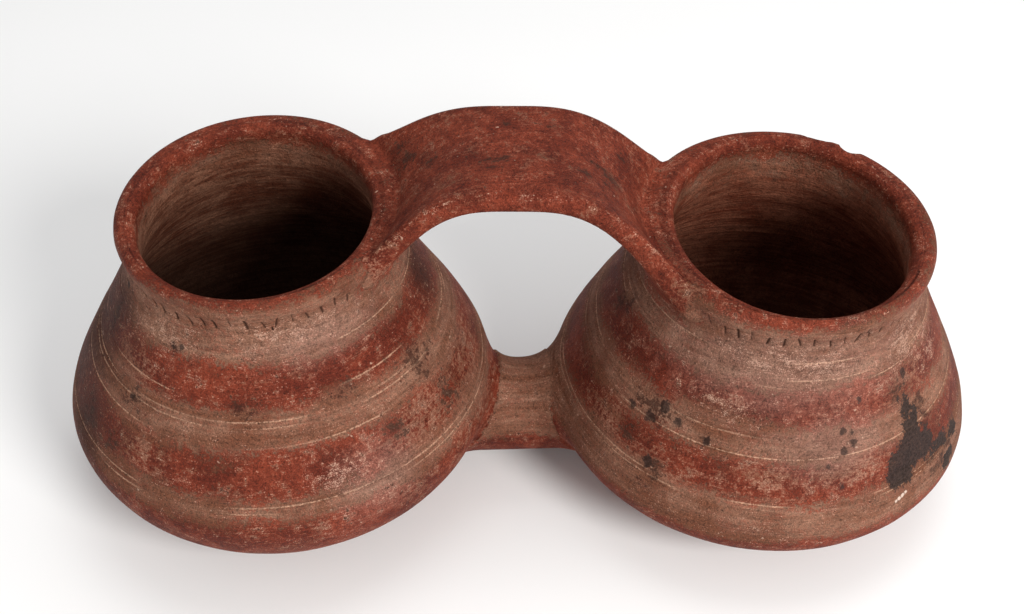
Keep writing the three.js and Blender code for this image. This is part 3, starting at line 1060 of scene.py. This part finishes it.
def clay_material():
    material = bpy.data.materials.new("slip_banded_clay")
    g = Graph(material)
    place = g.add("ShaderNodeTexCoord").outputs["Object"]
    lathe = g.vector("lathe")
    slip, line, score, nick = g.value("slip"), g.value("line"), g.value("score"), g.value("nick")
    soot, smoke, deep = g.value("soot"), g.value("smoke"), g.value("deep")
    worn, bloom_and_edge_light, cloud_and_shade = g.value("worn"), g.value("bloom_and_edge_light"), g.value("cloud_and_shade")
    veil_and_light, warm = g.value("veil_and_light"), g.value("warm")

    # Noises from the finest grit to broad patches, and the streaks of turning and wiping
    grit = g.noise(place, 2300.0, 2.0, 0.6)
    grain = g.noise(place, 1050.0, 3.0, 0.65)
    crumb = g.noise(place, 480.0, 3.0, 0.6, 0.3)
    mottle = g.noise(place, 170.0, 5.0, 0.65, 0.5)
    patch = g.noise(place, 46.0, 4.0, 0.6, 0.4)
    stain = g.noise(g.scaled(place, (1.0, 1.0, 1.8)), 88.0, 5.0, 0.65, 0.6)
    hair = g.noise(g.scaled(lathe, (0.10, 0.10, 2.1)), 1.0, 3.0, 0.62, 0.4)
    wipe = g.noise(g.scaled(lathe, (0.045, 0.045, 0.62)), 1.0, 4.0, 0.62, 0.5)
    sweep = g.noise(g.scaled(lathe, (0.014, 0.014, 0.17)), 1.0, 4.0, 0.6, 0.4)

    # Ragged borders of the red slip, its worn spots, and its stain on the bare clay
    edge = g.plus(slip, (patch, 3.2), (mottle, 3.2), (sweep, 2.0), (crumb, 2.6), (grain, 2.6), (hair, 0.8))
    painted = g.step(edge, -2.4, 2.4)
    rubbed = g.plus((mottle, 0.42), (stain, 0.36), (hair, 0.24), (wipe, 0.16), (grain, 0.52),
                    (crumb, 0.42), g.times(worn, 0.62))
    painted = g.times(painted, g.math("MULTIPLY_ADD", g.step(rubbed, 0.10, 0.80), -0.85, 1.0))
    tinted = g.plus((stain, 0.55), (sweep, 0.4), (grain, 0.5), (crumb, 0.25))
    painted = g.math("MAXIMUM", painted, g.times(g.step(tinted, -0.2, 0.8), 0.62))

    # Buff clay, red slip, and fire clouds together with painted shade on the flanks that face left
    clay = g.mix(g.step(g.plus((patch, 0.5), (sweep, 0.6)), -0.5, 0.5),
                 linear(112, 69, 50), linear(148, 108, 88))
    clay = g.mix(g.times(g.step(wipe, 0.45, 0.65), 0.4), clay, linear(100, 62, 46))
    red = g.mix(g.step(g.plus((patch, 0.6), (mottle, 0.5)), -0.5, 0.5),
                linear(92, 35, 22), linear(126, 55, 36))
    red = g.mix(g.times(g.step(stain, 0.5, 0.7), 0.5), red, linear(88, 40, 27))
    colour = g.mix(painted, clay, red)
    # Fire clouds and painted shade on the left-facing flanks, in one dark brown
    clouded_and_shaded = g.times(cloud_and_shade, g.step(g.plus((mottle, 0.4), cloud_and_shade), 0.0, 0.9))
    colour = g.mix(g.times(clouded_and_shaded, 0.78), colour, linear(62, 27, 16))

    # Pale grains and bloom, with painted light on the strap's rounded edges, incised lines, and a thin
    # veil with painted light on the left jar's shaded base
    pale = g.plus((grit, 0.5), (crumb, 0.32), (hair, 0.24), (mottle, 0.34), g.times(bloom_and_edge_light, 0.42))
    colour = g.mix(g.times(g.step(pale, 0.28, 0.85), 0.75), colour, linear(182, 146, 126))
    lined = g.plus(g.step(line, 0.48, 0.14), (grain, 0.5), (stain, 0.5))
    lined = g.times(g.times(g.step(lined, 0.5, 1.05), g.step(score, 0.25, 0.8)), 0.66)
    colour = g.mix(lined, colour, linear(190, 148, 122))
    # The veil, which also paints light onto the shaded base of the left jar
    veiled_and_lit = g.times(g.step(g.plus(veil_and_light, (mottle, 0.3)), 0.0, 1.0), 0.20)
    colour = g.mix(veiled_and_lit, colour, linear(172, 142, 130))

    # Grain darkens and lightens the colour, with dark pits and pale chips
    tone = g.plus((grit, 0.48), (grain, 0.42), (hair, 0.16), (crumb, 0.24), 1.0)
    shade = g.add("ShaderNodeCombineColor")
    for socket in shade.inputs:
        g.set(socket, tone)
    colour = g.mix(1.0, colour, shade.outputs[0], "MULTIPLY")
    pits = g.step(g.plus((grain, 0.6), (crumb, 0.3), (mottle, 0.25)), 0.42, 0.72)
    colour = g.mix(g.times(pits, 0.75), colour, linear(52, 30, 22))
    chips = g.step(g.noise(place, 560.0, 1.0, 0.5), 0.745, 0.80)
    colour = g.mix(g.times(chips, 0.55), colour, linear(200, 164, 142))

    # Dark specks, smoke, soot, painted shade in the nicks and a pale scratch
    black = g.mix(g.step(grain, 0.35, 0.65), linear(32, 25, 23), linear(58, 47, 43))
    speck = g.step(g.plus(g.inside(lathe, SPECKS), (crumb, 0.9), (grain, 0.7)), -0.3, 0.5)
    colour = g.mix(g.times(speck, 0.8), colour, black)
    thin = g.plus(g.times(smoke, 0.85), (mottle, 0.7), (crumb, 0.6), (grain, 0.5), (wipe, 0.2))
    colour = g.mix(g.times(g.step(thin, 0.5, 1.05), 0.76), colour, linear(44, 26, 19))
    sooty = g.step(g.plus(soot, (mottle, 2.6), (crumb, 1.8), (grain, 1.2)), -0.4, 0.5)
    colour = g.mix(g.times(sooty, 0.93), colour, black)
    # Painted shade in the nicks
    colour = g.mix(g.times(g.step(nick, 0.12, 0.6), 0.85), colour, linear(56, 32, 22))
    scratch = g.step(g.plus(g.inside(lathe, SCRATCH), (grain, 0.4)), -0.2, 0.3)
    colour = g.mix(g.times(scratch, 0.85), colour, linear(222, 200, 184))

    # The hollows, from the lip's red to bare clay, then painted shade with some soot that darkens with
    # depth
    inside = g.mix(g.step(g.plus(wipe, (patch, 0.2), (mottle, 0.1)), 0.3, 0.75),
                   linear(90, 46, 30), linear(132, 90, 70))
    inside = g.mix(warm, inside, g.mix(1.0, inside, (1.25, 1.0, 0.95, 1.0), "MULTIPLY"))
    inside = g.mix(1.0, inside, shade.outputs[0], "MULTIPLY")
    bare = g.step(g.plus(deep, (mottle, 8.0), (stain, 5.0), (grain, 3.0)), 4.0, 20.0)
    colour = g.mix(bare, colour, inside)
    # Painted shade, with some soot, darkens the hollows and the bore with depth
    colour = g.mix(g.times(g.step(deep, 35.0, 120.0), 0.8), colour, linear(44, 25, 17))

    shader = g.add("ShaderNodeBsdfPrincipled")
    g.set(shader.inputs["Base Color"], colour)
    rough = g.plus(g.math("MULTIPLY_ADD", painted, -0.16, 0.8), (grain, 0.05))
    g.set(shader.inputs["Roughness"], rough)
    shader.inputs["Specular IOR Level"].default_value = 0.12
    relief = g.plus(g.times(grit, 0.6), g.times(grain, 1.2), g.times(crumb, 0.8), g.times(hair, 0.6),
                    g.times(wipe, 0.4), g.times(painted, 0.15), g.times(pits, -0.4))
    g.set(shader.inputs["Normal"], g.bump(relief, 0.0005))
    output = g.add("ShaderNodeOutputMaterial")
    g.set(output.inputs["Surface"], shader.outputs[0])
    return material


def floor_material():
    material = bpy.data.materials.new("pale_floor")
    g = Graph(material)
    place = g.add("ShaderNodeTexCoord").outputs["Object"]
    shader = g.add("ShaderNodeBsdfPrincipled")
    tone = g.mix(g.noise(place, 3.0, 2.0), (0.93, 0.93, 0.93, 1.0), (0.96, 0.96, 0.96, 1.0))
    g.set(shader.inputs["Base Color"], tone)
    shader.inputs["Roughness"].default_value = 0.9
    shader.inputs["Specular IOR Level"].default_value = 0.1
    output = g.add("ShaderNodeOutputMaterial")
    g.set(output.inputs["Surface"], shader.outputs[0])
    return material


def add_floor():
    mesh = bpy.data.meshes.new("floor")
    mesh.from_pydata([(-6, -6, 0), (6, -6, 0), (6, 6, 0), (-6, 6, 0)], [], [(0, 1, 2, 3)])
    floor = bpy.data.objects.new("floor", mesh)
    mesh.materials.append(floor_material())
    bpy.context.scene.collection.objects.link(floor)


def add_light(name, place, target, size, power, colour=(1.0, 1.0, 1.0)):
    data = bpy.data.lights.new(name, "AREA")
    data.shape = "DISK"
    data.size = size
    data.energy = power
    data.color = colour
    lamp = bpy.data.objects.new(name, data)
    lamp.location = place
    lamp.rotation_euler = (Vector(target) - Vector(place)).to_track_quat("-Z", "Y").to_euler()
    bpy.context.scene.collection.objects.link(lamp)


def add_lights():
    world = bpy.data.worlds.new("studio")
    bpy.context.scene.world = world
    world.use_nodes = True
    world.node_tree.nodes["Background"].inputs["Color"].default_value = (1.0, 1.0, 1.0, 1.0)
    world.node_tree.nodes["Background"].inputs["Strength"].default_value = 0.55
    aim = (0, 0, 0.06)
    add_light("key", (0.66, -0.95, 0.85), aim, 0.5, 16.5, (1.0, 0.99, 0.97))
    add_light("top", (0.1, 0.25, 1.3), aim, 0.9, 4.0)


def add_camera():
    """Stands where the photograph was taken from."""
    rise, turn, roll = (math.radians(angle) for angle in CAMERA["angles"])
    target = Vector(CAMERA["aim"]) - Vector(MIDDLE)
    back = Vector((math.sin(turn) * math.cos(rise), -math.cos(turn) * math.cos(rise), math.sin(rise)))
    level = Vector((math.cos(turn), math.sin(turn), 0.0))
    upward = back.cross(level)
    right = math.cos(roll) * level + math.sin(roll) * upward
    up = math.cos(roll) * upward - math.sin(roll) * level
    place = (target + CAMERA["distance"] * back) * MM
    data = bpy.data.cameras.new("camera")
    data.sensor_width = 36.0
    data.lens = CAMERA["lens"]
    data.clip_start = 0.01
    camera = bpy.data.objects.new("camera", data)
    camera.matrix_world = Matrix.Translation(place) @ Matrix((right, up, back)).transposed().to_4x4()
    bpy.context.scene.collection.objects.link(camera)
    bpy.context.scene.camera = camera


def clear_defaults():
    for item in list(bpy.data.objects):
        if item.name in ("Cube", "Light", "Camera"):
            bpy.data.objects.remove(item)


clear_defaults()
bpy.context.scene.view_settings.view_transform = "Standard"
body = double_jar()
body.data.materials.clear()
body.data.materials.append(clay_material())
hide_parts("double_jar")
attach(body, "root")
add_floor()
add_lights()
add_camera()

bpy.context.view_layer.update()
